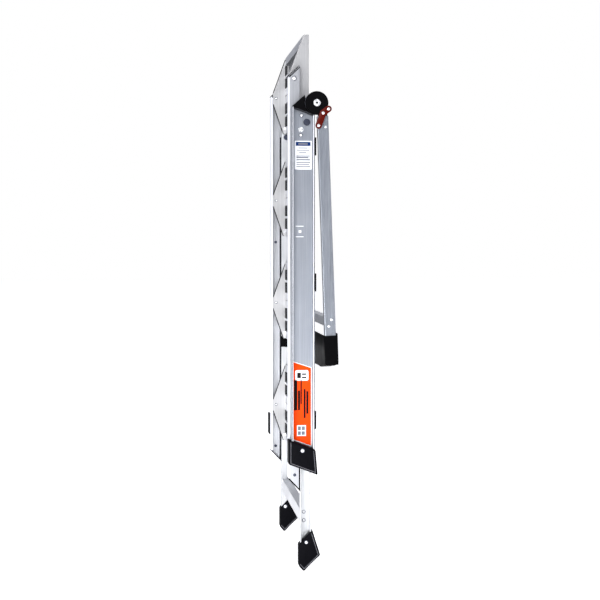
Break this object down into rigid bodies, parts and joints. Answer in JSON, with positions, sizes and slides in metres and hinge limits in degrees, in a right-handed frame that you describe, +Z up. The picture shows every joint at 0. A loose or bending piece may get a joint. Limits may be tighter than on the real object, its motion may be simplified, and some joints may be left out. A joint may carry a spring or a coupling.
{
  "type": "step ladder",
  "caption": "Folding step ladder with deep hinged treads that stay level on parallel link rails, splayed front and rear frames and a fold-down handrail, shown folded.",
  "frame": {"origin": "Middle of the base: halfway between the sides and halfway between the front and back of the folded ladder, at the height of the front feet's toes.", "axes": "+Z up along the rails, +X to the right of a person who climbs it, +Y towards the rear frame and the handrail; -Y is the climber's side."},
  "size_m": [0.6522, 0.1388, 1.4855],
  "materials": {
    "rail_aluminium": "satin",
    "tread_aluminium": "satin",
    "cheek_aluminium": "satin",
    "zinc_steel": "satin",
    "dark_steel": "satin",
    "foot_rubber": "satin",
    "cap_plastic": "satin",
    "grip_plastic": "satin",
    "latch_plastic": "gloss",
    "orange_label": "gloss",
    "white_label": "gloss"
  },
  "bodies": {
    "front_frame": {"front_rail_left": "rail_aluminium", "front_rail_right": "rail_aluminium", "front_foot_left": "foot_rubber", "front_foot_right": "foot_rubber", "front_brace": "rail_aluminium", "main_pivot_bolt_left": "dark_steel", "main_pivot_bolt_right": "dark_steel", "storage_catch": "cap_plastic"},
    "step_1": {"step_1_front_plank": "tread_aluminium", "step_1_rear_plank": "tread_aluminium", "step_1_cheek_left": "cheek_aluminium", "step_1_cheek_right": "cheek_aluminium", "step_1_pin_left": "zinc_steel", "step_1_pin_right": "zinc_steel"},
    "step_2": {"step_2_front_plank": "tread_aluminium", "step_2_rear_plank": "tread_aluminium", "step_2_cheek_left": "cheek_aluminium", "step_2_cheek_right": "cheek_aluminium", "step_2_pin_left": "zinc_steel", "step_2_pin_right": "zinc_steel"},
    "step_3": {"step_3_front_plank": "tread_aluminium", "step_3_rear_plank": "tread_aluminium", "step_3_cheek_left": "cheek_aluminium", "step_3_cheek_right": "cheek_aluminium", "step_3_pin_left": "zinc_steel", "step_3_pin_right": "zinc_steel"},
    "step_4": {"step_4_front_plank": "tread_aluminium", "step_4_rear_plank": "tread_aluminium", "step_4_cheek_left": "cheek_aluminium", "step_4_cheek_right": "cheek_aluminium", "step_4_pin_left": "zinc_steel", "step_4_pin_right": "zinc_steel"},
    "link_rails": {"link_rail_left": "rail_aluminium", "link_rail_right": "rail_aluminium"},
    "rear_frame": {"rear_rail_left": "rail_aluminium", "rear_rail_right": "rail_aluminium", "rear_foot_left": "foot_rubber", "rear_foot_right": "foot_rubber", "hinge_cap_left": "cap_plastic", "hinge_cap_right": "cap_plastic", "rear_brace_lower": "rail_aluminium", "rear_brace_middle": "rail_aluminium", "rear_brace_upper": "rail_aluminium", "brace_plug_lower_left": "cap_plastic", "brace_plug_lower_right": "cap_plastic", "brace_plug_middle_left": "cap_plastic", "brace_plug_middle_right": "cap_plastic", "brace_plug_upper_left": "cap_plastic", "brace_plug_upper_right": "cap_plastic", "hinge_bolt_left": "zinc_steel", "hinge_bolt_right": "zinc_steel"},
    "handrail": {"handrail_rail_left": "rail_aluminium", "handrail_rail_right": "rail_aluminium", "handrail_brace": "rail_aluminium", "handrail_grip": "grip_plastic", "hinge_knuckle_left": "cap_plastic", "hinge_knuckle_right": "cap_plastic"},
    "latch_left": {"latch_lever_left": "latch_plastic"},
    "latch_right": {"latch_lever_right": "latch_plastic"}
  },
  "joints": [
    {"name": "step_fold", "type": "hinge", "parent": "front_frame", "child": "step_1", "pos_m": [0, -0.02245, 0.3045], "axis": [1, 0, 0], "range_deg": [0, 133.4]},
    {"name": "step_2_fold", "type": "hinge", "parent": "front_frame", "child": "step_2", "pos_m": [0, -0.02245, 0.6245], "axis": [1, 0, 0], "range_deg": [0, 133.4]},
    {"name": "step_3_fold", "type": "hinge", "parent": "front_frame", "child": "step_3", "pos_m": [0, -0.02245, 0.9445], "axis": [1, 0, 0], "range_deg": [0, 133.4]},
    {"name": "step_4_fold", "type": "hinge", "parent": "front_frame", "child": "step_4", "pos_m": [0, -0.02245, 1.2645], "axis": [1, 0, 0], "range_deg": [0, 133.4]},
    {"name": "link_rail_pivot", "type": "hinge", "parent": "step_1", "child": "link_rails", "pos_m": [0, -0.04995, 0.3995], "axis": [1, 0, 0], "range_deg": [-133.4, 0]},
    {"name": "rear_frame_fold", "type": "hinge", "parent": "front_frame", "child": "rear_frame", "pos_m": [0, -0.01645, 1.238], "axis": [1, 0, 0], "range_deg": [0, 64.1]},
    {"name": "handrail_fold", "type": "hinge", "parent": "rear_frame", "child": "handrail", "pos_m": [0, 0.00825, 1.289], "axis": [1, 0, 0], "range_deg": [0, 157.3]},
    {"name": "latch_left_swing", "type": "hinge", "parent": "handrail", "child": "latch_left", "pos_m": [-0.3229, 0.02504, 1.26107], "axis": [1, 0, 0], "range_deg": [0, 25]},
    {"name": "latch_right_swing", "type": "hinge", "parent": "handrail", "child": "latch_right", "pos_m": [0.3229, 0.02504, 1.26107], "axis": [1, 0, 0], "range_deg": [0, 25]}
  ],
  "couplings": [
    {"joint": "step_2_fold", "follows": "step_fold", "ratio": 1},
    {"joint": "step_3_fold", "follows": "step_fold", "ratio": 1},
    {"joint": "step_4_fold", "follows": "step_fold", "ratio": 1},
    {"joint": "link_rail_pivot", "follows": "step_fold", "ratio": -1}
  ]
}
